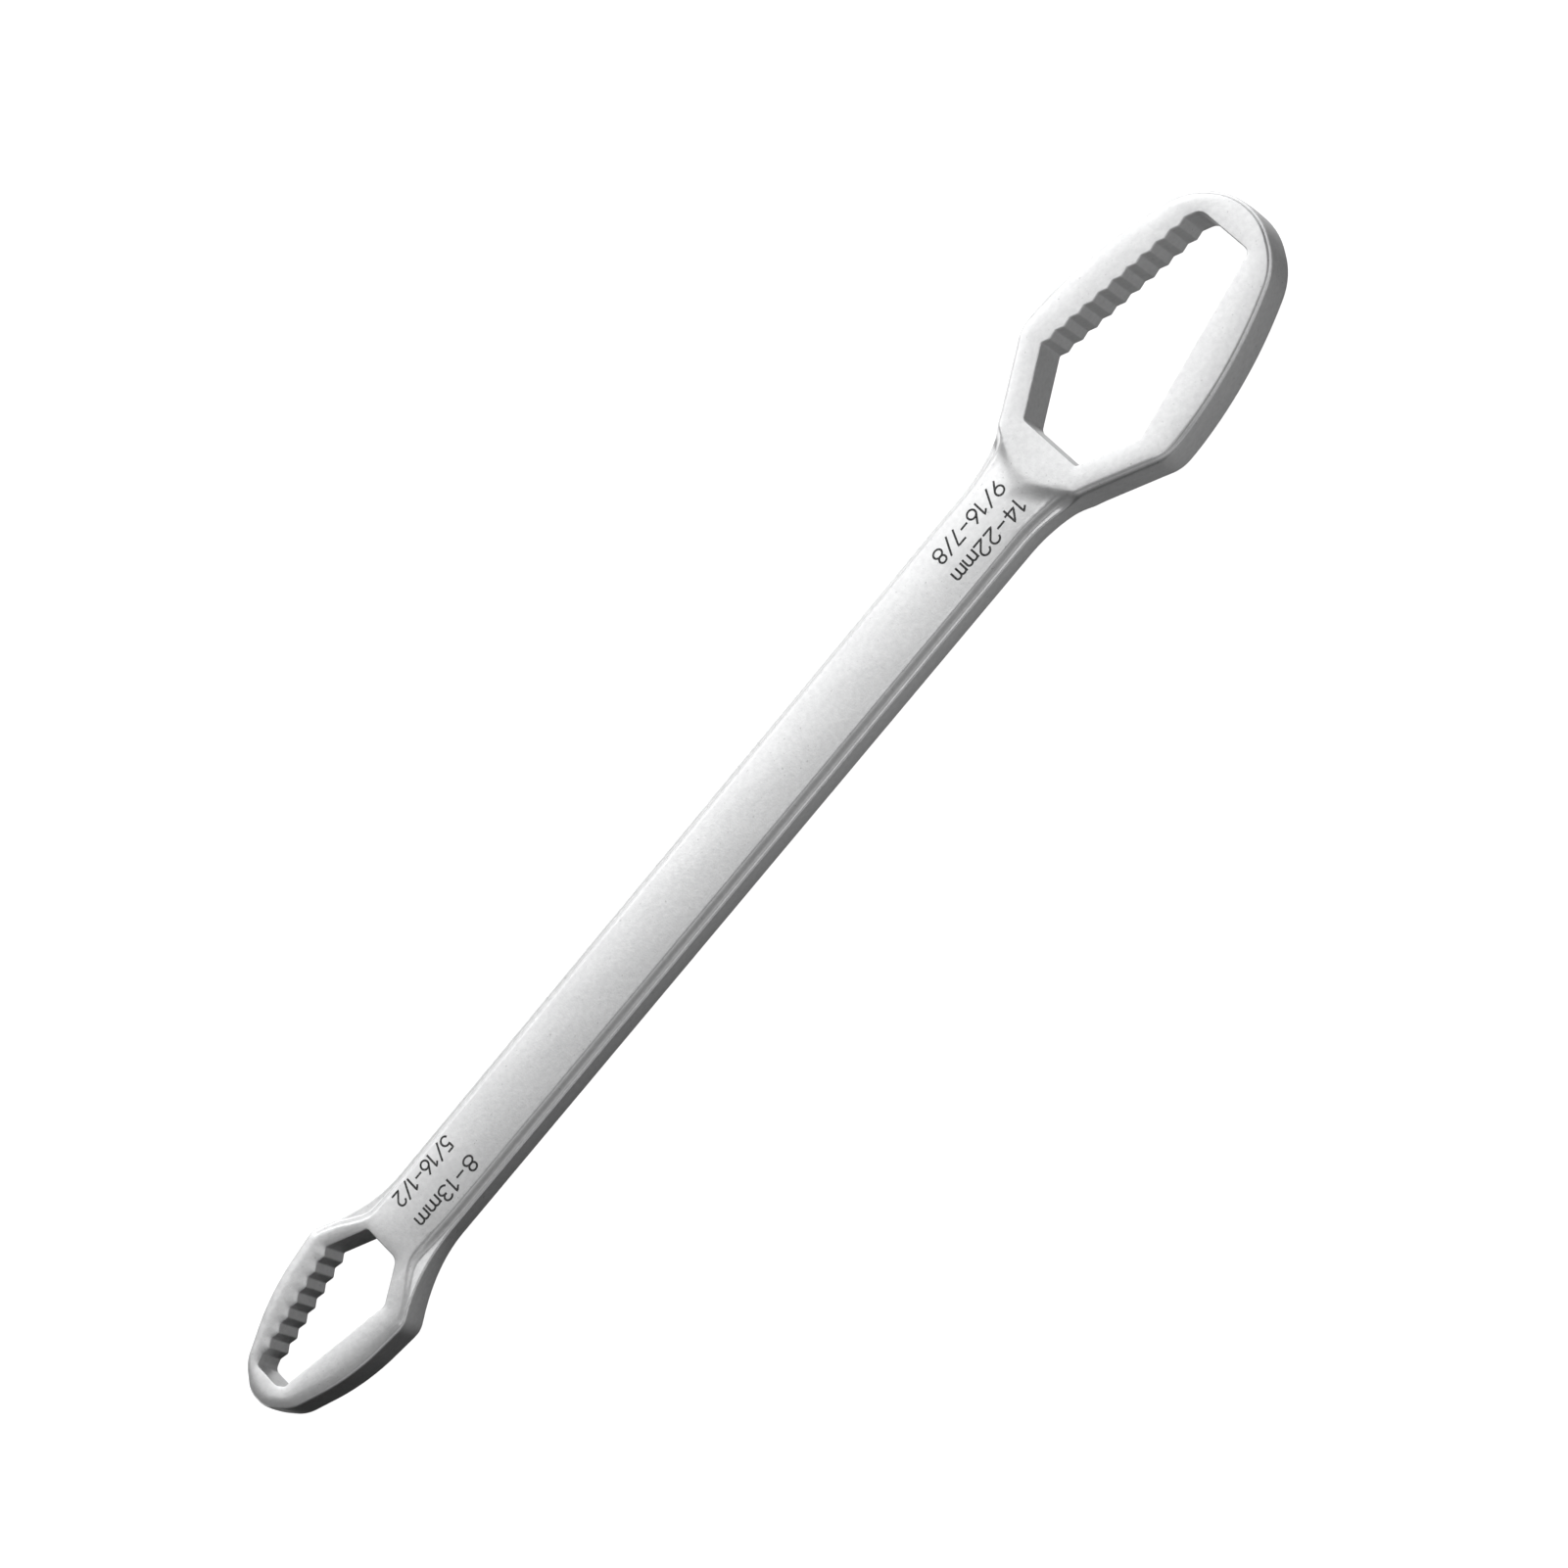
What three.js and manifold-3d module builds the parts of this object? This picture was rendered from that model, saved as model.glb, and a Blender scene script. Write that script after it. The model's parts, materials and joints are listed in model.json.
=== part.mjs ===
// Double-ended self-adjusting ring wrench, drop forged in one piece.
// Millimetres. +X runs along the shank towards the large head, +Y towards the toothed
// jaws and +Z up. The origin is on the underside, at the middle of the bounding box.
import * as THREE from "three";
import { mergeVertices } from "three/addons/utils/BufferGeometryUtils.js";
import Module from "manifold-3d";

// Overall: the two tips are equally far from the origin.
const TIP_X = 126.75;
const LARGE_THICKNESS = 8.0;
const SMALL_THICKNESS = 7.0;
const MIDPLANE_Z = LARGE_THICKNESS / 2;
const FLANK_ANGLE = Math.PI / 6; // the back of each head runs parallel to a hexagon's side

// Shank: a web with a raised panel on each face and a narrow ledge beside the panel.
const WEB_THICKNESS = 4.0;
const SHANK_HALF_WIDTH_LARGE_END = 7.55;
const SHANK_HALF_WIDTH_SMALL_END = 7.2;
const SHANK_OFFSET_Y_SMALL_END = 0.15; // the shank leans a little towards the small head's centre
const NECK_RADIUS = 30;
const PANEL_HALF_WIDTH = 5.3;
const PANEL_CROWN_HEIGHT = 3.47; // above the midplane
const PANEL_EDGE_HEIGHT = 3.17; // where the shoulder begins
const SHOULDER_WIDTH = 1.5;
const SHOULDER_SINK = 0.2; // how far the shoulder runs on below the ledge
const CROWN_STEPS = 6;

// Heads. Each outline is given by its half: distance beyond the wide flat of the opening,
// half width, and corner radius.
const LARGE_TIP_WALL = 49.5;
const LARGE_OUTLINE = [
  [10.6, 18.17, 7],
  [27.1, 17.74, 84],
  [45, 10.86, 12],
  [LARGE_TIP_WALL, 3.65, 12],
];
const SMALL_TIP_WALL = 33.5;
const SMALL_OUTLINE = [
  [6.9, 12.45, 3.5],
  [19.3, 11.15, 42],
  [30.4, 6.2, 7],
  [SMALL_TIP_WALL, 2.0, 5],
];
const SMALL_HEAD_OFFSET_Y = 0.3;
const HEAD_EDGE = 0.6; // chamfered edge of the heads' faces
const LARGE_FLAT_X = TIP_X - LARGE_TIP_WALL;
const SMALL_FLAT_X = SMALL_TIP_WALL - TIP_X;

// Rounded back of the thick large head, behind its wide flat.
const BOSS_BACK = 7.6;
const BOSS_BACK_RADIUS = 25;
const BOSS_CORNER_BACK = 5.2;
const BOSS_CORNER_RADIUS = 5;
const BOSS_EDGE = 0.9;

// Flare of the raised panel into the small head: its tail sinks into the crown of the panel.
const FLARE_START = 3.5; // behind the wide flat, where it is as wide as the panel
const FLARE_RADIUS = 8;
const FLARE_MERGE = 7.6; // beyond the wide flat, where it meets the head's widest corner
const FLARE_TAIL = 9;
const FLARE_TAIL_HALF_WIDTH = 3;

// Openings: a half hexagon at the wide end, a smooth side and a toothed side that draw
// together towards the tip wall.
const LARGE_OPENING = {
  side: 12.83, // the hexagon's side, for nuts up to 22.2 across flats
  smooth: [10.0, -12.2, 1.5],
  teethStart: [11.1, 12.9],
  teethEnd: [41.3, 7.35],
  tip: [
    [43.9, 5.9, 2.2],
    [43.9, -5.6, 1.3],
  ],
  teeth: 10,
  toothHeight: 0.52,
  offsetY: 0,
  backCorners: [0.6, 1.2],
};
const SMALL_OPENING = {
  side: 7.72, // for nuts up to 13.4 across flats
  smooth: [6.85, -7.73, 1.5],
  teethStart: [7.15, 7.72],
  teethEnd: [27.35, 4.15],
  tip: [
    [29.2, 3.5, 1.2],
    [29.2, -1.8, 1.2],
    [28.3, -3.15, 0.8],
  ],
  teeth: 7,
  toothHeight: 0.7,
  offsetY: 0.78,
  backCorners: [1.8, 0.8],
};
const TOOTH_ROUND = 0.45;

const ARC_STEP = 0.16; // largest turn between neighbouring points of an arc, in radians
const ARC_CHORD = 2.5; // and the largest distance between them

// Polygon through [x, y, radius] corners, each rounded by an arc of its radius.
function roundedOutline(corners) {
  const points = [];
  corners.forEach(([x, y, radius], i) => {
    const corner = new THREE.Vector2(x, y);
    const before = corners[(i + corners.length - 1) % corners.length];
    const after = corners[(i + 1) % corners.length];
    const back = new THREE.Vector2(before[0], before[1]).sub(corner).normalize();
    const on = new THREE.Vector2(after[0], after[1]).sub(corner).normalize();
    const half = Math.acos(back.dot(on)) / 2;
    const centre = back.clone().add(on).normalize().multiplyScalar(radius / Math.sin(half)).add(corner);
    const start = back.multiplyScalar(radius / Math.tan(half)).add(corner).sub(centre);
    const sweep = Math.PI - 2 * half;
    const steps = Math.ceil(Math.max(sweep / ARC_STEP, (sweep * radius) / ARC_CHORD, 2));
    const end = on.multiplyScalar(radius / Math.tan(half)).add(corner).sub(centre);
    const turn = Math.sign(start.cross(end)) * sweep;
    for (let k = 0; k <= steps; k++) {
      const angle = start.angle() + (turn * k) / steps;
      points.push(
        new THREE.Vector2(centre.x + radius * Math.cos(angle), centre.y + radius * Math.sin(angle)),
      );
    }
  });
  return points;
}

// A head's half outline placed in the part's frame: sign +1 for the large head, -1 for the small.
function headCorners(outline, flatX, sign, centreY) {
  const place = ([along, across, radius], side) => [
    flatX + sign * along,
    centreY + side * across,
    radius,
  ];
  const upper = outline.map((corner) => place(corner, 1));
  const lower = outline.map((corner) => place(corner, -1)).reverse();
  return sign > 0 ? [...upper, ...lower] : [...lower.reverse(), ...upper.reverse()];
}

// Where a head's flank, drawn back from its widest corner, reaches the side of the shank.
function neckCorner([x, y], sign, sideY) {
  const run = Math.abs(y - sideY) / Math.tan(FLANK_ANGLE);
  return [x - sign * run, sideY, NECK_RADIUS];
}

function wholeOutline() {
  const large = headCorners(LARGE_OUTLINE, LARGE_FLAT_X, 1, 0);
  const small = headCorners(SMALL_OUTLINE, SMALL_FLAT_X, -1, SMALL_HEAD_OFFSET_Y);
  const largeNeck = (corner, side) => neckCorner(corner, 1, side * SHANK_HALF_WIDTH_LARGE_END);
  const smallNeck = (corner, side) =>
    neckCorner(corner, -1, SHANK_OFFSET_Y_SMALL_END + side * SHANK_HALF_WIDTH_SMALL_END);
  return roundedOutline([
    largeNeck(large[0], 1),
    ...large,
    largeNeck(large.at(-1), -1),
    smallNeck(small[0], -1),
    ...small,
    smallNeck(small.at(-1), 1),
  ]);
}

// The opening of one head, with ridges standing into it along the toothed side.
function openingOutline(opening, flatX, sign) {
  const { side, teeth, toothHeight, offsetY, backCorners } = opening;
  const start = new THREE.Vector2(...opening.teethStart);
  const along = new THREE.Vector2(...opening.teethEnd).sub(start);
  const inward = new THREE.Vector2(along.y, -along.x).normalize().multiplyScalar(toothHeight);
  const ridges = [];
  for (let i = 0; i < teeth; i++) {
    const ridge = along.clone().multiplyScalar((i + 0.5) / teeth).add(start).add(inward);
    const notch = along.clone().multiplyScalar((i + 1) / teeth).add(start);
    ridges.push([ridge.x, ridge.y, TOOTH_ROUND], [notch.x, notch.y, TOOTH_ROUND]);
  }
  const corners = [
    [0, -side / 2, backCorners[0]],
    [0, side / 2, backCorners[1]],
    [start.x, start.y, TOOTH_ROUND],
    ...ridges,
    ...opening.tip,
    opening.smooth,
  ];
  return roundedOutline(
    corners.map(([x, y, radius]) => [flatX + sign * x, y + offsetY, radius]),
  );
}

// Plan of the thick large head: a rounded back, and everything beyond it.
function bossRegion() {
  const beyond = TIP_X + 10;
  const wide = 30;
  const corner = LARGE_FLAT_X - BOSS_CORNER_BACK;
  const reach = LARGE_OUTLINE[0][1] - (LARGE_OUTLINE[0][0] + BOSS_CORNER_BACK) * Math.tan(FLANK_ANGLE);
  return roundedOutline([
    [LARGE_FLAT_X - BOSS_BACK, 0, BOSS_BACK_RADIUS],
    [corner, -reach - HEAD_EDGE, BOSS_CORNER_RADIUS],
    [LARGE_FLAT_X + LARGE_OUTLINE[0][0], -wide, 1],
    [beyond, -wide, 1],
    [beyond, wide, 1],
    [LARGE_FLAT_X + LARGE_OUTLINE[0][0], wide, 1],
    [corner, reach + HEAD_EDGE, BOSS_CORNER_RADIUS],
  ]);
}

// Plan of the small head's faces: they flare out of the shank's raised panel.
function flareRegion() {
  const beyond = -TIP_X - 10;
  const wide = 30;
  const tail = SMALL_FLAT_X + FLARE_START + FLARE_TAIL;
  const start = SMALL_FLAT_X + FLARE_START;
  const merge = SMALL_FLAT_X - FLARE_MERGE;
  const reach = SMALL_OUTLINE[0][1] + HEAD_EDGE;
  const half = (side) => [
    [tail, side * FLARE_TAIL_HALF_WIDTH, 2],
    [start, side * (PANEL_HALF_WIDTH + SHOULDER_WIDTH - 0.1), FLARE_RADIUS],
    [merge, SMALL_HEAD_OFFSET_Y + side * reach, 1],
    [merge, side * wide, 2],
    [beyond, side * wide, 2],
  ];
  return roundedOutline([...half(-1), ...half(1).reverse()]);
}

// Prism on a plan outline, centred on the midplane, with its two edges chamfered.
function plate(outline, thickness, edge = 0, edgeHeight = edge) {
  const geometry = new THREE.ExtrudeGeometry(new THREE.Shape(outline), {
    depth: thickness - 2 * edgeHeight,
    bevelEnabled: edge > 0,
    bevelSize: edge,
    bevelOffset: -edge,
    bevelThickness: edgeHeight,
    bevelSegments: edge > 0 ? 2 : 0,
  });
  return geometry.translate(0, 0, MIDPLANE_Z - thickness / 2 + edgeHeight);
}

// The raised panels of the shank: one crowned section, drawn along X.
function shankPanels() {
  const half = [];
  for (let i = 0; i <= CROWN_STEPS; i++) {
    const across = (PANEL_HALF_WIDTH * i) / CROWN_STEPS;
    const fall = (PANEL_CROWN_HEIGHT - PANEL_EDGE_HEIGHT) * (i / CROWN_STEPS) ** 2;
    half.push([across, PANEL_CROWN_HEIGHT - fall]);
  }
  half.push([PANEL_HALF_WIDTH + SHOULDER_WIDTH, WEB_THICKNESS / 2 - SHOULDER_SINK]);
  const mirrored = (sx, sz) => half.map(([y, z]) => new THREE.Vector2(sx * y, sz * z));
  const section = new THREE.Shape([
    ...mirrored(1, 1),
    ...mirrored(1, -1).reverse(),
    ...mirrored(-1, -1).slice(1),
    ...mirrored(-1, 1).reverse().slice(0, -1),
  ]);
  const start = SMALL_FLAT_X + FLARE_START;
  const end = LARGE_FLAT_X - 2;
  const geometry = new THREE.ExtrudeGeometry(section, { depth: end - start, bevelEnabled: false });
  geometry.rotateX(Math.PI / 2);
  geometry.rotateZ(Math.PI / 2);
  return geometry.translate(start, 0, MIDPLANE_Z);
}

const wasm = await Module();
wasm.setup();

function solid(geometry) {
  const bare = geometry.clone();
  bare.deleteAttribute("normal");
  bare.deleteAttribute("uv");
  const merged = mergeVertices(bare, 1e-4);
  return new wasm.Manifold(
    new wasm.Mesh({
      numProp: 3,
      vertProperties: merged.attributes.position.array,
      triVerts: new Uint32Array(merged.index.array),
    }),
  );
}

function geometryOf(body) {
  const mesh = body.getMesh();
  const geometry = new THREE.BufferGeometry();
  geometry.setAttribute("position", new THREE.BufferAttribute(mesh.vertProperties, 3));
  geometry.setIndex(new THREE.BufferAttribute(mesh.triVerts, 1));
  geometry.computeVertexNormals();
  return geometry;
}

function forgedBody() {
  const outline = wholeOutline();
  const web = solid(plate(outline, WEB_THICKNESS));
  const largeHead = solid(plate(outline, LARGE_THICKNESS, HEAD_EDGE)).intersect(
    solid(plate(bossRegion(), LARGE_THICKNESS, BOSS_EDGE)),
  );
  const smallHead = solid(plate(outline, SMALL_THICKNESS, HEAD_EDGE)).intersect(
    solid(plate(flareRegion(), SMALL_THICKNESS, SHOULDER_WIDTH, SMALL_THICKNESS / 2 - WEB_THICKNESS / 2)),
  );
  const openings = [
    openingOutline(LARGE_OPENING, LARGE_FLAT_X, 1),
    openingOutline(SMALL_OPENING, SMALL_FLAT_X, -1),
  ];
  let body = web.add(largeHead).add(smallHead).add(solid(shankPanels()));
  for (const opening of openings) {
    body = body.subtract(solid(plate(opening, 2 * LARGE_THICKNESS)));
  }
  return geometryOf(body);
}

const platedSteel = new THREE.MeshStandardMaterial({
  color: 0xc6c7c8,
  metalness: 0.9,
  roughness: 0.45,
});

const wrench = new THREE.Group();
const forged = new THREE.Mesh(forgedBody(), platedSteel);
forged.name = "forged_body";
wrench.add(forged);

export default wrench;
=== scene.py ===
import json
import math

import bpy
import numpy as np
from mathutils import Matrix, Vector
from mathutils.geometry import delaunay_2d_cdt

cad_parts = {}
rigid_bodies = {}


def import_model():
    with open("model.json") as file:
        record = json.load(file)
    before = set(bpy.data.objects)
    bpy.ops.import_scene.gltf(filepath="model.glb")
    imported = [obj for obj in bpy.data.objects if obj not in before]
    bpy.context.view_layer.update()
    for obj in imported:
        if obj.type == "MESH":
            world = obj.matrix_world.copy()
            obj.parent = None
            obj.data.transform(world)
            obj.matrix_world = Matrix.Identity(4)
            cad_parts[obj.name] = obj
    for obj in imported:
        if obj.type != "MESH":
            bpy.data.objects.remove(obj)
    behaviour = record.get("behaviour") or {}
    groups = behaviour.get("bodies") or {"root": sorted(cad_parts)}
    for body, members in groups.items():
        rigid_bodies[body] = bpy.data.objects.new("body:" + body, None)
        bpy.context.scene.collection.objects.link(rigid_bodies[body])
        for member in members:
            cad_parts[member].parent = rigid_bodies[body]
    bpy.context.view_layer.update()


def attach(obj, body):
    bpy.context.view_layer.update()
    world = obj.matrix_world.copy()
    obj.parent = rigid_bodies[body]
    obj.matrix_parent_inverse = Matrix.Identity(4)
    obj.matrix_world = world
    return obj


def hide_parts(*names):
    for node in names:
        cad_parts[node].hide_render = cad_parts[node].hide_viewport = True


for leftover in list(bpy.data.objects):
    bpy.data.objects.remove(leftover)

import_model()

MM = 0.001

# Dimensions of the forging, in millimetres in the row frame. An outline's corners are given by
# distance beyond the opening's wide flat, half width and radius.
TIP_X = 126.75
MIDPLANE = 4.0
LARGE_FACE = 4.0  # the faces and the ledge are heights above the midplane
SMALL_FACE = 3.5
LEDGE = 2.0
LARGE_HALF_SHANK = 7.55
SMALL_HALF_SHANK = 7.2
SMALL_SHANK_Y = 0.15
NECK_RADIUS = 30
SMALL_CENTRE_Y = 0.3
LARGE_TIP_WALL = 49.5
LARGE_OUTLINE = [(10.6, 18.17, 7), (27.1, 17.74, 84), (45, 10.86, 12), (LARGE_TIP_WALL, 3.65, 12)]
SMALL_TIP_WALL = 33.5
SMALL_OUTLINE = [(6.9, 12.55, 5), (19.3, 11.15, 42), (30.4, 6.2, 7), (SMALL_TIP_WALL, 2.0, 5)]
LARGE_FLAT_X = TIP_X - LARGE_TIP_WALL
SMALL_FLAT_X = SMALL_TIP_WALL - TIP_X

# Openings: the length of the wide flat and the radii at its ends, then the toothed side's start,
# end, count of teeth and their depth, then the other corners as (distance beyond the wide flat,
# distance across, radius), and the opening's place across the head.
LARGE_OPENING = {
    "side": 12.83,
    "backs": (0.6, 1.2),
    "teeth": ((11.1, 12.9), (41.3, 7.35), 10, 0.52),
    "rest": [(43.9, 5.9, 2.2), (43.9, -5.6, 1.3), (10.0, -12.2, 1.5)],
    "y": 0.0,
}
SMALL_OPENING = {
    "side": 7.72,
    "backs": (1.8, 0.8),
    "teeth": ((7.15, 7.72), (27.35, 4.15), 7, 0.7),
    "rest": [(29.2, 3.5, 1.2), (29.2, -1.8, 1.2), (28.3, -3.15, 0.8), (6.85, -7.73, 1.5)],
    "y": 0.78,
}
TOOTH_ROUND = 0.45

# Section of the shank and of the edges.
PANEL_INSET = 1.8  # from the side of the shank to the edge of the raised panel
PANEL_HALF = 5.5  # where the crown of the panel is fully down
SHOULDER = (-1.15, 0.1)
CROWN = 0.3
SMALL_LEDGE_DROP = 0.5  # the ledge rises to this far under the small head's face
SHANK_EDGE = 0.36
LARGE_EDGE = 0.14
SMALL_EDGE = 0.5
INNER_EDGE = 0.18
RING_CROWN = 0.2
SMALL_RING_CROWN = 0.4
CROWN_TO_OUTSIDE = 1.15  # share of the crown that falls towards the outline
CROWN_TO_OPENING = 0.55
WALL_BULGE = 0.08  # the walls swell towards the parting line
RIM_WIDTH = 0.5  # narrow rim left by the die round the large head's face
RIM_DROP = 0.32
RIM_STEP = 0.22
FLANK_EDGE = 1.0  # extra rounding along the large head's flanks
WAVER = 0.012  # height of the forging's slow unevenness
MARGIN = 0.01  # keeps the skin inside the CAD box

# Step behind the large head: a circle across the shank, cut off along both flanks.
BOSS_BACK_X = LARGE_FLAT_X - 13.0
BOSS_FLANK_X = LARGE_FLAT_X - 3.1
BOSS_RADIUS = 24
BOSS_RISE = 6.2
BOSS_FLANK_SLOPE = 1.6
BOSS_CORNER = 1.2
BOSS_TOP = 0.22

# Edge of the raised panel from the small head into the shank: distance from the wide flat
# and half width there.
FLARE_X = [-9.5, -8.0, -6.95, -5.15, -3.25, -1.55, 0.35, 1.7, 3.0, 4.4, 6.5, 14]
FLARE_Y = [15.5, 12.4, 10.8, 10.1, 8.8, 7.4, 6.05, 5.45, 5.32, 5.3, 5.35, 5.43]
FLARE_END_X = SMALL_FLAT_X + FLARE_X[-1]
FLARE_STEP = 0.2

# Where one shape blends into the next: start in x, and length from there towards the head.
NECK_BLEND = (LARGE_FLAT_X - 24, 12)
ARM_BLEND = (LARGE_FLAT_X + 7, 9)
SMALL_CROWN_BLEND = (SMALL_FLAT_X + 8, 12)
LEDGE_BLEND = (SMALL_FLAT_X + 9, 16)
SMALL_RING_BLEND = (SMALL_FLAT_X + 6, 9)
NECK_SHARE = 0.8  # how far the panel's edge follows the outline in the large neck
SMALL_CROWN_LOSS = 0.75

# Rows of the mesh along each wall, as distances from it, and pitch of the points between them.
OUTER_STEPS = [0, 0.008, 0.03, 0.07, 0.12, 0.19, 0.27, 0.35, 0.43, 0.5, 0.56, 0.62]
OUTER_STEPS += [0.7, 0.8, 0.9, 1.0, 1.12, 1.24, 1.36, 1.48, 1.6, 1.75, 1.9]
INNER_STEPS = [0, 0.006, 0.02, 0.045, 0.08, 0.12, 0.18, 0.28]
WALL_SHARES = (0.85, 0.6, 0.3, 0, -0.3, -0.6, -0.85)
OUTER_GAP = 0.22
INNER_GAP = 0.2
FILL_HALF_WIDTH = 18
COARSE_PITCH = 0.95
FINE_PITCH = 0.36
ROW_SPACING = 0.866  # height of an equilateral triangle
FINE_BOXES = (
    (BOSS_BACK_X - 0.8, BOSS_BACK_X + 8, -13, 13),
    (SMALL_FLAT_X - 9, SMALL_FLAT_X + 8, -12, 12.5),
)
SLIVER = 1e-4  # twice the area under which a triangle along a row is dropped


def rounded(corners, turn_step=0.13, chord=0.35):
    """Polygon through (x, y, radius) corners, each rounded by an arc of its radius."""
    points = []
    for i, (x, y, radius) in enumerate(corners):
        corner = np.array((x, y), float)
        before = np.array(corners[i - 1][:2]) - corner
        after = np.array(corners[(i + 1) % len(corners)][:2]) - corner
        u = before / np.linalg.norm(before)
        v = after / np.linalg.norm(after)
        half = math.acos(u @ v) / 2
        middle = (u + v) / np.linalg.norm(u + v)
        centre = corner + middle * radius / math.sin(half)
        start = corner + u * radius / math.tan(half) - centre
        end = corner + v * radius / math.tan(half) - centre
        sweep = math.pi - 2 * half
        turn = math.copysign(sweep, start[0] * end[1] - start[1] * end[0])
        steps = max(2, math.ceil(sweep / turn_step), math.ceil(sweep * radius / chord))
        first = math.atan2(start[1], start[0])
        for angle in first + turn * np.arange(steps + 1) / steps:
            points.append(centre + radius * np.array((math.cos(angle), math.sin(angle))))
    return np.array(points)


def resampled(loop, longest):
    """The closed loop with its long sides divided."""
    points = []
    for a, b in zip(loop, np.roll(loop, -1, axis=0)):
        length = np.linalg.norm(b - a)
        if length < 1e-4:
            continue
        parts = max(1, math.ceil(length / longest))
        points += [a + (b - a) * k / parts for k in range(parts)]
    return np.array(points)


def area(loop):
    x, y = loop.T
    return 0.5 * float(np.sum(x * np.roll(y, -1) - np.roll(x, -1) * y))


def outer_loop():
    """The outline of the whole forging, anticlockwise."""

    def head(outline, flat, sign, centre):
        upper = [(flat + sign * a, centre + w, r) for a, w, r in outline]
        lower = [(flat + sign * a, centre - w, r) for a, w, r in reversed(outline)]
        return upper + lower

    def neck(corner, sign, side_y):
        run = abs(corner[1] - side_y) / math.tan(math.pi / 6)
        return (corner[0] - sign * run, side_y, NECK_RADIUS)

    large = head(LARGE_OUTLINE, LARGE_FLAT_X, 1, 0)
    small = head(SMALL_OUTLINE, SMALL_FLAT_X, -1, SMALL_CENTRE_Y)[::-1]
    corners = [neck(large[0], 1, LARGE_HALF_SHANK), *large, neck(large[-1], 1, -LARGE_HALF_SHANK)]
    corners += [neck(small[0], -1, SMALL_SHANK_Y - SMALL_HALF_SHANK), *small]
    corners += [neck(small[-1], -1, SMALL_SHANK_Y + SMALL_HALF_SHANK)]
    loop = resampled(rounded(corners), 0.8)
    return loop if area(loop) > 0 else loop[::-1]


def opening_loop(opening, flat, sign):
    """The outline of an opening, clockwise."""
    start, end, count, depth = opening["teeth"]
    start = np.array(start)
    along = np.array(end) - start
    inward = np.array((along[1], -along[0])) / np.linalg.norm(along) * depth
    half_side = opening["side"] / 2
    corners = [(0, -half_side, opening["backs"][0]), (0, half_side, opening["backs"][1])]
    corners.append((*start, TOOTH_ROUND))
    for i in range(count):
        corners.append((*(start + along * (i + 0.5) / count + inward), TOOTH_ROUND))
        corners.append((*(start + along * (i + 1) / count), TOOTH_ROUND))
    corners += opening["rest"]
    placed = [(flat + sign * x, y + opening["y"], r) for x, y, r in corners]
    loop = resampled(rounded(placed, 0.2), 0.45)
    return loop if area(loop) < 0 else loop[::-1]


def to_material(loop):
    """Unit step from each point of a loop towards the steel, lengthened at corners."""
    ahead = np.roll(loop, -1, axis=0) - loop
    ahead /= np.linalg.norm(ahead, axis=1)[:, None]
    behind = np.roll(ahead, 1, axis=0)
    left_ahead = np.stack((-ahead[:, 1], ahead[:, 0]), 1)
    left_behind = np.stack((-behind[:, 1], behind[:, 0]), 1)
    total = left_ahead + left_behind
    total /= np.linalg.norm(total, axis=1)[:, None]
    return total / np.maximum(0.5, np.sum(total * left_ahead, axis=1))[:, None]


OUTER = outer_loop()
OUTER = OUTER + to_material(OUTER) * (MARGIN + WALL_BULGE)
OPENINGS = [
    opening_loop(LARGE_OPENING, LARGE_FLAT_X, 1),
    opening_loop(SMALL_OPENING, SMALL_FLAT_X, -1),
]


def distance(points, loop):
    """Distance from each point to a closed loop."""
    a = loop
    b = np.roll(loop, -1, axis=0) - a
    size = np.sum(b * b, axis=1)
    found = []
    for part in np.array_split(points, max(1, len(points) // 1500)):
        d = part[:, None] - a[None]
        t = np.clip(np.sum(d * b, axis=2) / size, 0, 1)
        found.append(np.sqrt(np.min(np.sum((d - t[:, :, None] * b) ** 2, axis=2), axis=1)))
    return np.concatenate(found)


def opening_distance(points):
    return np.minimum(distance(points, OPENINGS[0]), distance(points, OPENINGS[1]))


def inside(points, loop):
    a, b = loop, np.roll(loop, -1, axis=0)
    count = np.zeros(len(points), int)
    for (ax, ay), (bx, by) in zip(a, b):
        crosses = (ay > points[:, 1]) != (by > points[:, 1])
        with np.errstate(divide="ignore", invalid="ignore"):
            where = ax + (points[:, 1] - ay) * (bx - ax) / (by - ay)
        count += crosses & (points[:, 0] < where)
    return count % 2 == 1


def smooth(t):
    t = np.clip(t, 0, 1)
    return t * t * (3 - 2 * t)


def towards_large(x, blend):
    return smooth((x - blend[0]) / blend[1])


def towards_small(x, blend):
    return smooth((blend[0] - x) / blend[1])


def soft_min(a, b, width):
    """The smaller of a and b, blended where they differ by less than width."""
    mixed = np.clip(0.5 + 0.5 * (b - a) / width, 0, 1)
    return b + (a - b) * mixed - width * mixed * (1 - mixed)


def quarter_round(d, radius):
    """Fall of a rounded edge at distance d from its wall."""
    share = np.clip(1 - d / radius, 0, 1)
    return radius * (1 - np.sqrt(1 - share * share))


def inside_panel(x, across, d_out):
    """Distance from the edge of the raised panel, positive on it."""
    share = (x - SMALL_FLAT_X) / (LARGE_FLAT_X - SMALL_FLAT_X)
    half = SMALL_HALF_SHANK + (LARGE_HALF_SHANK - SMALL_HALF_SHANK) * share - PANEL_INSET
    flare = np.interp(x - SMALL_FLAT_X, FLARE_X, FLARE_Y)
    slope = (np.interp(x - SMALL_FLAT_X - FLARE_STEP, FLARE_X, FLARE_Y) - flare) / FLARE_STEP
    on_flare = x < FLARE_END_X
    edge = np.where(on_flare, flare, half)
    panel = (edge - across) / np.sqrt(1 + np.where(on_flare, slope, 0) ** 2)
    in_neck = NECK_SHARE * towards_large(x, NECK_BLEND)
    return panel + (d_out - PANEL_INSET - panel) * in_neck


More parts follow.
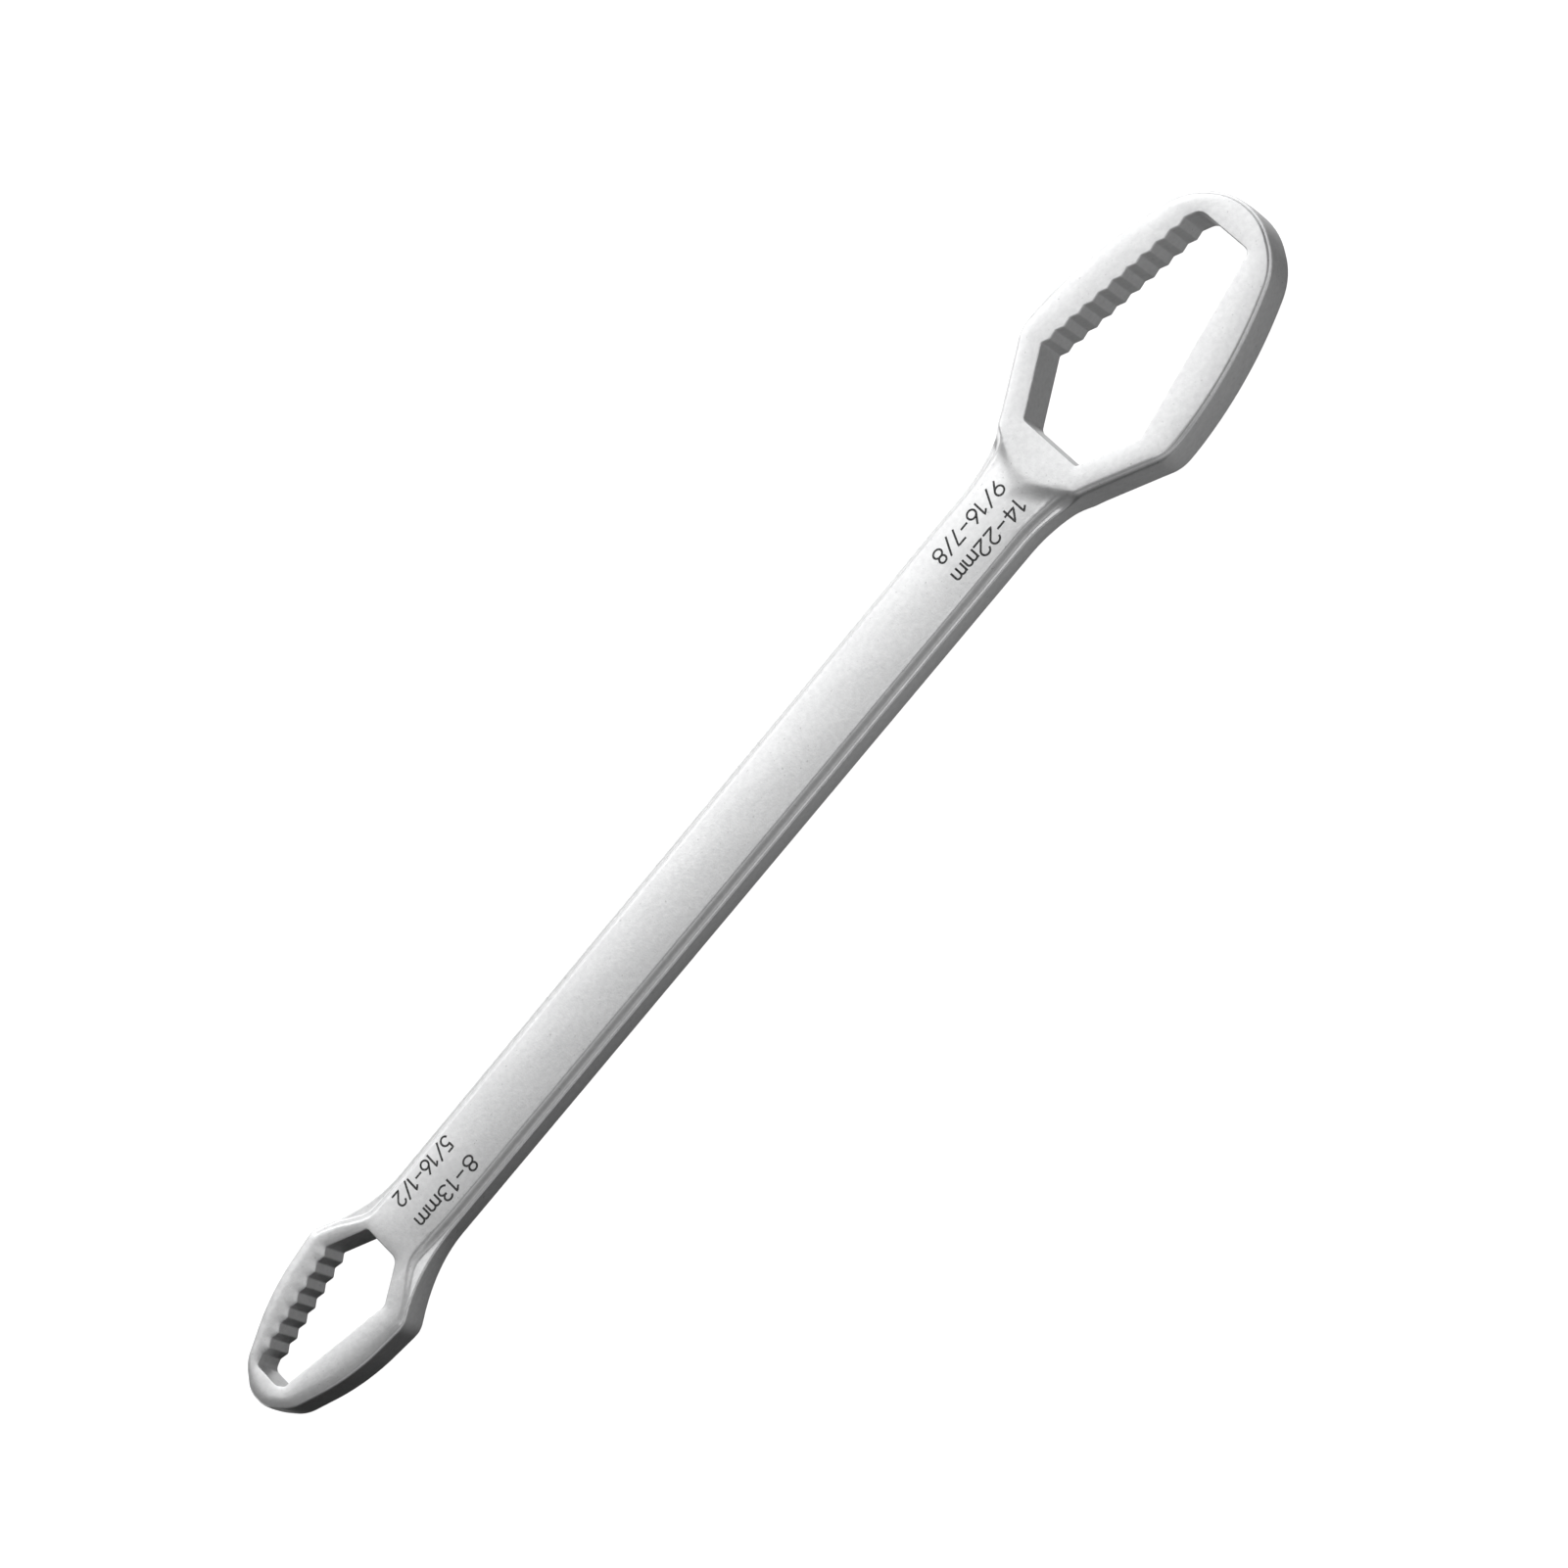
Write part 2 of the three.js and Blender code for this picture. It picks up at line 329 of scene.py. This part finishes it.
def boss_share(x, y, d_out):
    """0 on the shank, 1 on the large head's face."""
    back = BOSS_RADIUS - np.hypot(np.minimum(x - BOSS_BACK_X - BOSS_RADIUS, 0), y)
    flank = BOSS_RISE + d_out - BOSS_FLANK_SLOPE * np.maximum(0, BOSS_FLANK_X - x)
    risen = np.clip(soft_min(back, flank, BOSS_CORNER) / BOSS_RISE, 0, 1.2)
    return np.clip(soft_min(risen * risen, 1, BOSS_TOP), 0, 1)


def height(p, d_out, d_in):
    """Height of the face above the midplane at points p, whose distances from the outline
    and from the nearest opening are d_out and d_in."""
    x, y = p.T
    across = np.abs(y - SMALL_CENTRE_Y * towards_small(x, (FLARE_END_X, FLARE_X[-1])))
    panel = inside_panel(x, across, d_out)
    raised = smooth((panel - SHOULDER[0]) / (SHOULDER[1] - SHOULDER[0]))
    crown = CROWN * (1 - SMALL_CROWN_LOSS * towards_small(x, SMALL_CROWN_BLEND))
    face = SMALL_FACE - crown * np.minimum(across / PANEL_HALF, 1) ** 2
    ledge_rise = SMALL_FACE - SMALL_LEDGE_DROP - LEDGE
    ledge = LEDGE + ledge_rise * towards_small(x, LEDGE_BLEND)
    level = ledge + (face - ledge) * raised

    boss = boss_share(x, y, d_out)
    level = level + (LARGE_FACE - level) * boss

    in_small = towards_small(x, SMALL_RING_BLEND) * raised
    in_ring = np.maximum(boss, in_small)
    ring_crown = RING_CROWN + (SMALL_RING_CROWN - RING_CROWN) * in_small
    lean = 2 * d_in / (d_in + d_out) - 1
    fall = lean * lean * np.where(lean > 0, CROWN_TO_OUTSIDE, CROWN_TO_OPENING)
    level = level - ring_crown * in_ring * fall
    along_arm = towards_large(x, ARM_BLEND)
    level = level - RIM_DROP * boss * along_arm * (1 - smooth((d_out - RIM_WIDTH) / RIM_STEP))
    radius = SHANK_EDGE + (LARGE_EDGE - SHANK_EDGE) * boss + (SMALL_EDGE - SHANK_EDGE) * in_small
    radius = radius + FLANK_EDGE * boss * (1 - along_arm)
    level = level - quarter_round(d_out, radius) - quarter_round(d_in, INNER_EDGE)
    along_x = np.sin(0.31 * x + 1.3 * np.sin(0.23 * y))
    along_y = np.sin(0.47 * y + 0.9 * np.sin(0.17 * x + 1))
    return level - MARGIN - WAVER + WAVER * along_x * along_y


def edge_strips():
    """Rows of points along each wall, their faces, and the indices of each outermost and
    innermost row."""
    points, quads, rims, innermost = [], [], [], []
    total = 0
    for loop, steps in ((OUTER, OUTER_STEPS), *((o, INNER_STEPS) for o in OPENINGS)):
        step = to_material(loop)
        count = len(loop)
        points += [loop + step * d for d in steps]
        index = np.arange(count)
        ahead = (index + 1) % count
        for k in range(len(steps) - 1):
            low = total + k * count
            high = low + count
            ring = (low + index, low + ahead, high + ahead, high + index)
            quads += np.stack(ring, 1).tolist()
        rims.append(total + index)
        innermost.append(total + (len(steps) - 1) * count + index)
        total += count * len(steps)
    return np.concatenate(points), quads, rims, innermost


def grid(x0, x1, y0, y1, pitch):
    """Staggered rows of points over a box."""
    xs = np.arange(x0, x1, pitch)
    ys = np.arange(y0, y1, pitch * ROW_SPACING)
    gx, gy = np.meshgrid(xs, ys)
    gx = gx + (np.arange(len(ys)) % 2)[:, None] * pitch / 2
    return np.stack((gx.ravel(), gy.ravel()), 1)


def fill_points():
    """Points of the face between the strips, closer together where it changes quickly."""
    coarse = grid(-TIP_X, TIP_X, -FILL_HALF_WIDTH, FILL_HALF_WIDTH, COARSE_PITCH)
    for x0, x1, y0, y1 in FINE_BOXES:
        x, y = coarse.T
        coarse = coarse[~((x > x0) & (x < x1) & (y > y0) & (y < y1))]
    fill = np.concatenate([coarse, *(grid(*box, FINE_PITCH) for box in FINE_BOXES)])
    fill = fill[inside(fill, OUTER)]
    for opening in OPENINGS:
        fill = fill[~inside(fill, opening)]
    fill = fill[distance(fill, OUTER) > OUTER_STEPS[-1] + OUTER_GAP]
    for opening in OPENINGS:
        fill = fill[distance(fill, opening) > INNER_STEPS[-1] + INNER_GAP]
    return fill


def fill_triangles(rings, fill):
    """Triangles over the rings' points, in order, and then the fill's."""
    flat = np.concatenate((*rings, fill))
    edges = []
    start = 0
    for ring in rings:
        count = len(ring)
        edges += [(start + i, start + (i + 1) % count) for i in range(count)]
        start += count
    made = delaunay_2d_cdt([Vector(p) for p in flat], edges, [], 0, 1e-6)
    if len(made[0]) != len(flat):
        raise RuntimeError(f"the fill has {len(made[0])} points instead of {len(flat)}")
    source = np.array([origins[0] for origins in made[3]])
    triangles = source[np.array(made[2])]
    centres = flat[triangles].mean(axis=1)
    keep = inside(centres, rings[0]) & ~inside(centres, rings[1]) & ~inside(centres, rings[2])
    u = flat[triangles[:, 1]] - flat[triangles[:, 0]]
    v = flat[triangles[:, 2]] - flat[triangles[:, 0]]
    keep &= np.abs(u[:, 0] * v[:, 1] - u[:, 1] * v[:, 0]) > SLIVER
    return triangles[keep]


def body_mesh():
    """Vertices in metres and faces of the closed skin: face, underside and walls."""
    points, faces, rims, innermost = edge_strips()
    fill = fill_points()
    triangles = fill_triangles([points[ring] for ring in innermost], fill)
    number = np.concatenate((*innermost, len(points) + np.arange(len(fill))))
    faces += number[triangles].tolist()
    points = np.concatenate((points, fill))

    h = height(points, distance(points, OUTER), opening_distance(points))
    count = len(points)
    top = np.column_stack((points, MIDPLANE + h))
    under = np.column_stack((points, MIDPLANE - h))
    vertices = [top, under]
    faces += [[count + i for i in reversed(f)] for f in faces]
    total = 2 * count
    for rim, bulge in zip(rims, (WALL_BULGE, 0, 0)):
        rows = [rim]
        outward = -to_material(points[rim]) * bulge
        for share in WALL_SHARES:
            swollen = points[rim] + outward * (1 - share * share)
            vertices.append(np.column_stack((swollen, MIDPLANE + h[rim] * share)))
            rows.append(total + np.arange(len(rim)))
            total += len(rim)
        rows.append(count + rim)
        for upper, lower in zip(rows, rows[1:]):
            faces += np.stack((lower, np.roll(lower, -1), np.roll(upper, -1), upper), 1).tolist()
    return np.concatenate(vertices) * MM, faces


def mesh_object(name, vertices, faces, material):
    mesh = bpy.data.meshes.new(name)
    mesh.from_pydata([tuple(v) for v in vertices], [], faces)
    mesh.validate()
    mesh.shade_smooth()
    mesh.materials.append(material)
    made = bpy.data.objects.new(name, mesh)
    bpy.context.scene.collection.objects.link(made)
    return made


# Materials.


def node_material(name):
    material = bpy.data.materials.new(name)
    material.use_nodes = True
    nodes = material.node_tree.nodes
    return material, nodes, material.node_tree.links, nodes["Principled BSDF"]


def noise_node(nodes, links, coords, scale, detail):
    node = nodes.new("ShaderNodeTexNoise")
    node.inputs["Scale"].default_value = scale
    node.inputs["Detail"].default_value = detail
    links.new(coords, node.inputs["Vector"])
    return node.outputs["Fac"]


def ramp(nodes, links, source, low, high, out_low, out_high):
    node = nodes.new("ShaderNodeMapRange")
    node.inputs["From Min"].default_value = low
    node.inputs["From Max"].default_value = high
    node.inputs["To Min"].default_value = out_low
    node.inputs["To Max"].default_value = out_high
    links.new(source, node.inputs["Value"])
    return node.outputs["Result"]


def combined(nodes, links, operation, a, b):
    node = nodes.new("ShaderNodeMath")
    node.operation = operation
    links.new(a, node.inputs[0])
    links.new(b, node.inputs[1])
    return node.outputs["Value"]


def plated_steel():
    """Bead-blasted steel under bright plating: fine grain, a few pits, slow changes of gloss."""
    material, nodes, links, shader = node_material("plated_steel")
    coords = nodes.new("ShaderNodeTexCoord").outputs["Object"]
    grain = noise_node(nodes, links, coords, 2600, 2)
    mottle = noise_node(nodes, links, coords, 1100, 2)
    cloud = noise_node(nodes, links, coords, 60, 2)
    pits = noise_node(nodes, links, coords, 1900, 1)

    shade = nodes.new("ShaderNodeMix")
    shade.data_type = "RGBA"
    shade.inputs["A"].default_value = (0.72, 0.723, 0.727, 1)
    shade.inputs["B"].default_value = (0.79, 0.793, 0.796, 1)
    links.new(ramp(nodes, links, mottle, 0.3, 0.7, 0, 1), shade.inputs["Factor"])
    pitted = nodes.new("ShaderNodeMix")
    pitted.data_type = "RGBA"
    pitted.inputs["B"].default_value = (0.55, 0.55, 0.555, 1)
    links.new(shade.outputs["Result"], pitted.inputs["A"])
    links.new(ramp(nodes, links, pits, 0.7, 0.8, 0, 1), pitted.inputs["Factor"])
    links.new(pitted.outputs["Result"], shader.inputs["Base Color"])

    shader.inputs["Metallic"].default_value = 1.0
    links.new(ramp(nodes, links, cloud, 0.3, 0.7, 0.41, 0.45), shader.inputs["Roughness"])

    fine = nodes.new("ShaderNodeBump")
    fine.inputs["Strength"].default_value = 0.5
    fine.inputs["Distance"].default_value = 0.00003
    links.new(grain, fine.inputs["Height"])
    slow = nodes.new("ShaderNodeBump")
    slow.inputs["Strength"].default_value = 0.2
    slow.inputs["Distance"].default_value = 0.00005
    links.new(mottle, slow.inputs["Height"])
    links.new(fine.outputs["Normal"], slow.inputs["Normal"])
    links.new(slow.outputs["Normal"], shader.inputs["Normal"])
    return material


steel = plated_steel()
body = mesh_object("forged_body_skin", *body_mesh(), steel)
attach(body, "root")
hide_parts("forged_body")

# Size marks: thin dark inlays in a plain single-stroke face. Each glyph is a list of strokes
# on a unit-high body, with its advance.
MARK_HEIGHT = 2.75
MARK_STROKE = 0.37
MARK_PROUD = 0.012
MARK_SINK = 0.06


def arc(cx, cy, rx, ry, start, end, steps=14):
    angles = np.radians(np.linspace(start, end, steps))
    return [(cx + rx * math.cos(a), cy + ry * math.sin(a)) for a in angles]


def arch(left):
    return [(left, 0), *arc(left + 0.17, 0.44, 0.17, 0.18, 180, 0), (left + 0.34, 0)]


GLYPHS = {
    "1": (0.52, [[(0.08, 0.8), (0.3, 1.0), (0.3, 0.0)]]),
    "2": (0.74, [[*arc(0.29, 0.7, 0.26, 0.3, 165, -30), (0.02, 0.0), (0.58, 0.0)]]),
    "3": (0.74, [arc(0.28, 0.76, 0.23, 0.24, 150, -90), arc(0.28, 0.27, 0.28, 0.27, 90, -150)]),
    "4": (0.76, [[(0.45, 0.0), (0.45, 1.0), (0.0, 0.3), (0.62, 0.3)]]),
    "5": (0.74, [[(0.52, 1.0), (0.12, 1.0), *arc(0.27, 0.32, 0.29, 0.32, 120, -150)]]),
    "6": (0.74, [[(0.42, 1.0), *arc(0.3, 0.3, 0.28, 0.3, 150, 510, 24)]]),
    "7": (0.7, [[(0.0, 1.0), (0.56, 1.0), (0.18, 0.0)]]),
    "8": (0.74, [arc(0.28, 0.76, 0.22, 0.24, 0, 360, 20), arc(0.28, 0.27, 0.28, 0.27, 0, 360, 22)]),
    "9": (0.74, [[(0.16, 0.0), *arc(0.28, 0.7, 0.28, 0.3, -30, 330, 24)]]),
    "/": (0.66, [[(0.0, -0.05), (0.48, 1.05)]]),
    "-": (0.66, [[(0.06, 0.42), (0.5, 0.42)]]),
    "m": (0.86, [[(0.0, 0.0), (0.0, 0.62)], arch(0.0), arch(0.34)]),
}

MARKS = {
    "size_mark_large_mm": ("14-22mm", (LARGE_FLAT_X - 9.9, -1.4), (LARGE_FLAT_X - 26.9, -1.3)),
    "size_mark_large_inch": ("9/16-7/8", (LARGE_FLAT_X - 10.2, 3.6), (LARGE_FLAT_X - 26.8, 3.75)),
    "size_mark_small_mm": ("8-13mm", (SMALL_FLAT_X + 21.0, -1.15), (SMALL_FLAT_X + 6.4, -1.15)),
    "size_mark_small_inch": ("5/16-1/2", (SMALL_FLAT_X + 20.3, 4.65), (SMALL_FLAT_X + 6.3, 4.7)),
}


def strokes_of(text, start, end):
    """Centre lines of a text whose baseline runs from start to end, tops to the left of it."""
    start, end = np.array(start), np.array(end)
    total = sum(GLYPHS[letter][0] for letter in text)
    along = (end - start) / np.linalg.norm(end - start)
    rise = np.array((-along[1], along[0])) * MARK_HEIGHT
    unit = (end - start) / total
    pen = 0.0
    for letter in text:
        advance, strokes = GLYPHS[letter]
        for stroke in strokes:
            yield resampled_line(np.array([start + unit * (pen + u) + rise * v for u, v in stroke]))
        pen += advance


def resampled_line(line, longest=0.3):
    points = [line[0]]
    for a, b in zip(line, line[1:]):
        parts = max(1, math.ceil(np.linalg.norm(b - a) / longest))
        points += [a + (b - a) * k / parts for k in range(1, parts + 1)]
    return np.array(points)


def mark_mesh(text, start, end):
    """Each stroke is a closed flat bar that follows the panel and stands MARK_PROUD of it."""
    vertices, faces = [], []
    for line in strokes_of(text, start, end):
        ahead = np.gradient(line, axis=0)
        ahead /= np.linalg.norm(ahead, axis=1)[:, None]
        line[0] -= ahead[0] * MARK_STROKE / 3
        line[-1] += ahead[-1] * MARK_STROKE / 3
        side = np.stack((-ahead[:, 1], ahead[:, 0]), 1) * MARK_STROKE / 2
        first = sum(len(part) for part in vertices)
        rows = []
        for edge in (line + side, line - side):
            surface = MIDPLANE + height(edge, distance(edge, OUTER), opening_distance(edge))
            rows.append(np.column_stack((edge, surface + MARK_PROUD)))
            rows.append(np.column_stack((edge, surface - MARK_SINK)))
        vertices += rows
        count = len(line)
        ring = [first, first + 2 * count, first + 3 * count, first + count]
        for k in range(count - 1):
            for a, b in zip(ring, ring[1:] + ring[:1]):
                faces.append((a + k, b + k, b + k + 1, a + k + 1))
        faces.append(tuple(reversed(ring)))
        faces.append(tuple(v + count - 1 for v in ring))
    return np.concatenate(vertices) * MM, faces


def dark_inlay():
    """Dark oxide left in the marks, with worn lighter flecks."""
    material, nodes, links, shader = node_material("dark_inlay")
    coords = nodes.new("ShaderNodeTexCoord").outputs["Object"]
    flecks = noise_node(nodes, links, coords, 3200, 2)
    shade = nodes.new("ShaderNodeMix")
    shade.data_type = "RGBA"
    shade.inputs["A"].default_value = (0.02, 0.02, 0.021, 1)
    shade.inputs["B"].default_value = (0.12, 0.12, 0.12, 1)
    links.new(ramp(nodes, links, flecks, 0.4, 0.68, 0, 1), shade.inputs["Factor"])
    links.new(shade.outputs["Result"], shader.inputs["Base Color"])
    links.new(ramp(nodes, links, flecks, 0.3, 0.7, 0.5, 0.7), shader.inputs["Roughness"])
    shader.inputs["Metallic"].default_value = 0.3
    return material


inlay = dark_inlay()
for mark_name, placed in MARKS.items():
    mark = mesh_object(mark_name, *mark_mesh(*placed), inlay)
    mark.data.shade_flat()
    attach(mark, "root")

# Floor, light and camera, in metres and degrees.

FLOOR_SIZE = 12
FLOOR_Z = -0.0002  # just under the wrench
CARD_SIZE = 6
CARD_Z = -0.15
AIM = Vector((0.00708, -0.000556, 0.004))
CAMERA_DISTANCE = 1.11642
CAMERA_AZIMUTH = 14.552
CAMERA_ELEVATION = 60.438
CAMERA_ROLL = -62.999
LENS = 158.283
SENSOR = 36
IMAGE_SIZE = 1601

# Name, azimuth (0 is towards -Y and 90 towards +X), elevation, distance, size and power.
LIGHTS = (
    ("key", 165, 39, 1.6, (2.0, 0.9), 11.5),
    ("top", 140, 72, 1.8, (1.8, 0.9), 4.1),
    ("rim", 165, 9, 1.5, (2.6, 0.4), 2.5),
    ("side", 45, 35, 1.5, (0.5, 0.4), 1.2),
    ("front", 0, 38, 1.5, (2.5, 0.8), 2.8),
)


def towards(azimuth, elevation):
    a = math.radians(azimuth)
    e = math.radians(elevation)
    return Vector((math.sin(a) * math.cos(e), -math.cos(a) * math.cos(e), math.sin(e)))


def glowing_floor():
    """White floor that stays white under the wrench and isn't mirrored in it."""
    material, _, _, shader = node_material("floor_white")
    shader.inputs["Base Color"].default_value = (0.9, 0.9, 0.9, 1)
    shader.inputs["Roughness"].default_value = 0.9
    shader.inputs["Emission Color"].default_value = (1, 1, 1, 1)
    shader.inputs["Emission Strength"].default_value = 0.8
    bpy.ops.mesh.primitive_plane_add(size=FLOOR_SIZE, location=(0, 0, FLOOR_Z))
    floor = bpy.context.object
    floor.name = "floor"
    floor.data.materials.append(material)
    floor.visible_glossy = False


def reflected_card():
    """What the steel mirrors below the horizon: a glowing card seen only in reflections, a painted
    reflection of the table with painted shade round the wrench, dark towards -X and bright on the
    +Y side."""
    material = bpy.data.materials.new("painted_reflection_card")
    material.use_nodes = True
    material.cycles.emission_sampling = "NONE"
    nodes, links = material.node_tree.nodes, material.node_tree.links
    nodes.clear()
    coords = nodes.new("ShaderNodeTexCoord").outputs["Object"]
    axes = nodes.new("ShaderNodeSeparateXYZ")
    links.new(coords, axes.inputs["Vector"])
    # Painted reflection: the glow dims in a band round the wrench (painted shadow of the wrench on
    # the table) and towards -X.
    along = ramp(nodes, links, axes.outputs["X"], -0.18, 0.0, 0.01, 0.2)
    near = ramp(nodes, links, axes.outputs["Y"], -0.2, -0.02, 1.7, 0.75)
    far = ramp(nodes, links, axes.outputs["Y"], 0.02, 0.2, 0.0, 1.4)
    level = combined(nodes, links, "MULTIPLY", along, near)
    glow = nodes.new("ShaderNodeEmission")
    links.new(combined(nodes, links, "ADD", level, far), glow.inputs["Strength"])
    output = nodes.new("ShaderNodeOutputMaterial")
    links.new(glow.outputs["Emission"], output.inputs["Surface"])
    bpy.ops.mesh.primitive_plane_add(size=CARD_SIZE, location=(0, 0, CARD_Z))
    card = bpy.context.object
    card.name = "card"
    card.data.materials.append(material)
    card.visible_camera = False
    card.visible_diffuse = False
    card.visible_shadow = False
    card.visible_transmission = False


def area_light(name, azimuth, elevation, away, size, power):
    """A soft rectangular light aimed at the wrench."""
    back = towards(azimuth, elevation)
    data = bpy.data.lights.new(name, "AREA")
    data.shape = "RECTANGLE"
    data.size, data.size_y = size
    data.energy = power
    lamp = bpy.data.objects.new(name, data)
    bpy.context.scene.collection.objects.link(lamp)
    lamp.location = AIM + back * away
    lamp.rotation_mode = "QUATERNION"
    lamp.rotation_quaternion = back.to_track_quat("Z", "Y")


def dim_world():
    world = bpy.data.worlds.new("studio")
    bpy.context.scene.world = world
    world.use_nodes = True
    background = world.node_tree.nodes["Background"]
    background.inputs["Color"].default_value = (0.5, 0.5, 0.5, 1)
    background.inputs["Strength"].default_value = 0.4


def rolled_camera():
    """Camera that looks at AIM, which falls half a pixel from the middle of the image."""
    back = towards(CAMERA_AZIMUTH, CAMERA_ELEVATION)
    right = (-back).cross(Vector((0, 0, 1))).normalized()
    up = right.cross(-back)
    roll = math.radians(CAMERA_ROLL)
    across = math.cos(roll) * right + math.sin(roll) * up
    upright = -math.sin(roll) * right + math.cos(roll) * up
    half_pixel = 0.5 * SENSOR / IMAGE_SIZE / LENS * CAMERA_DISTANCE
    target = AIM + half_pixel * (upright - across)
    data = bpy.data.cameras.new("camera")
    data.sensor_width = SENSOR
    data.lens = LENS
    camera = bpy.data.objects.new("camera", data)
    bpy.context.scene.collection.objects.link(camera)
    turned = Matrix((across, upright, back)).transposed().to_4x4()
    camera.matrix_world = Matrix.Translation(target + back * CAMERA_DISTANCE) @ turned
    bpy.context.scene.camera = camera


glowing_floor()
reflected_card()
for light in LIGHTS:
    area_light(*light)
dim_world()
rolled_camera()
bpy.context.scene.view_settings.view_transform = "Standard"
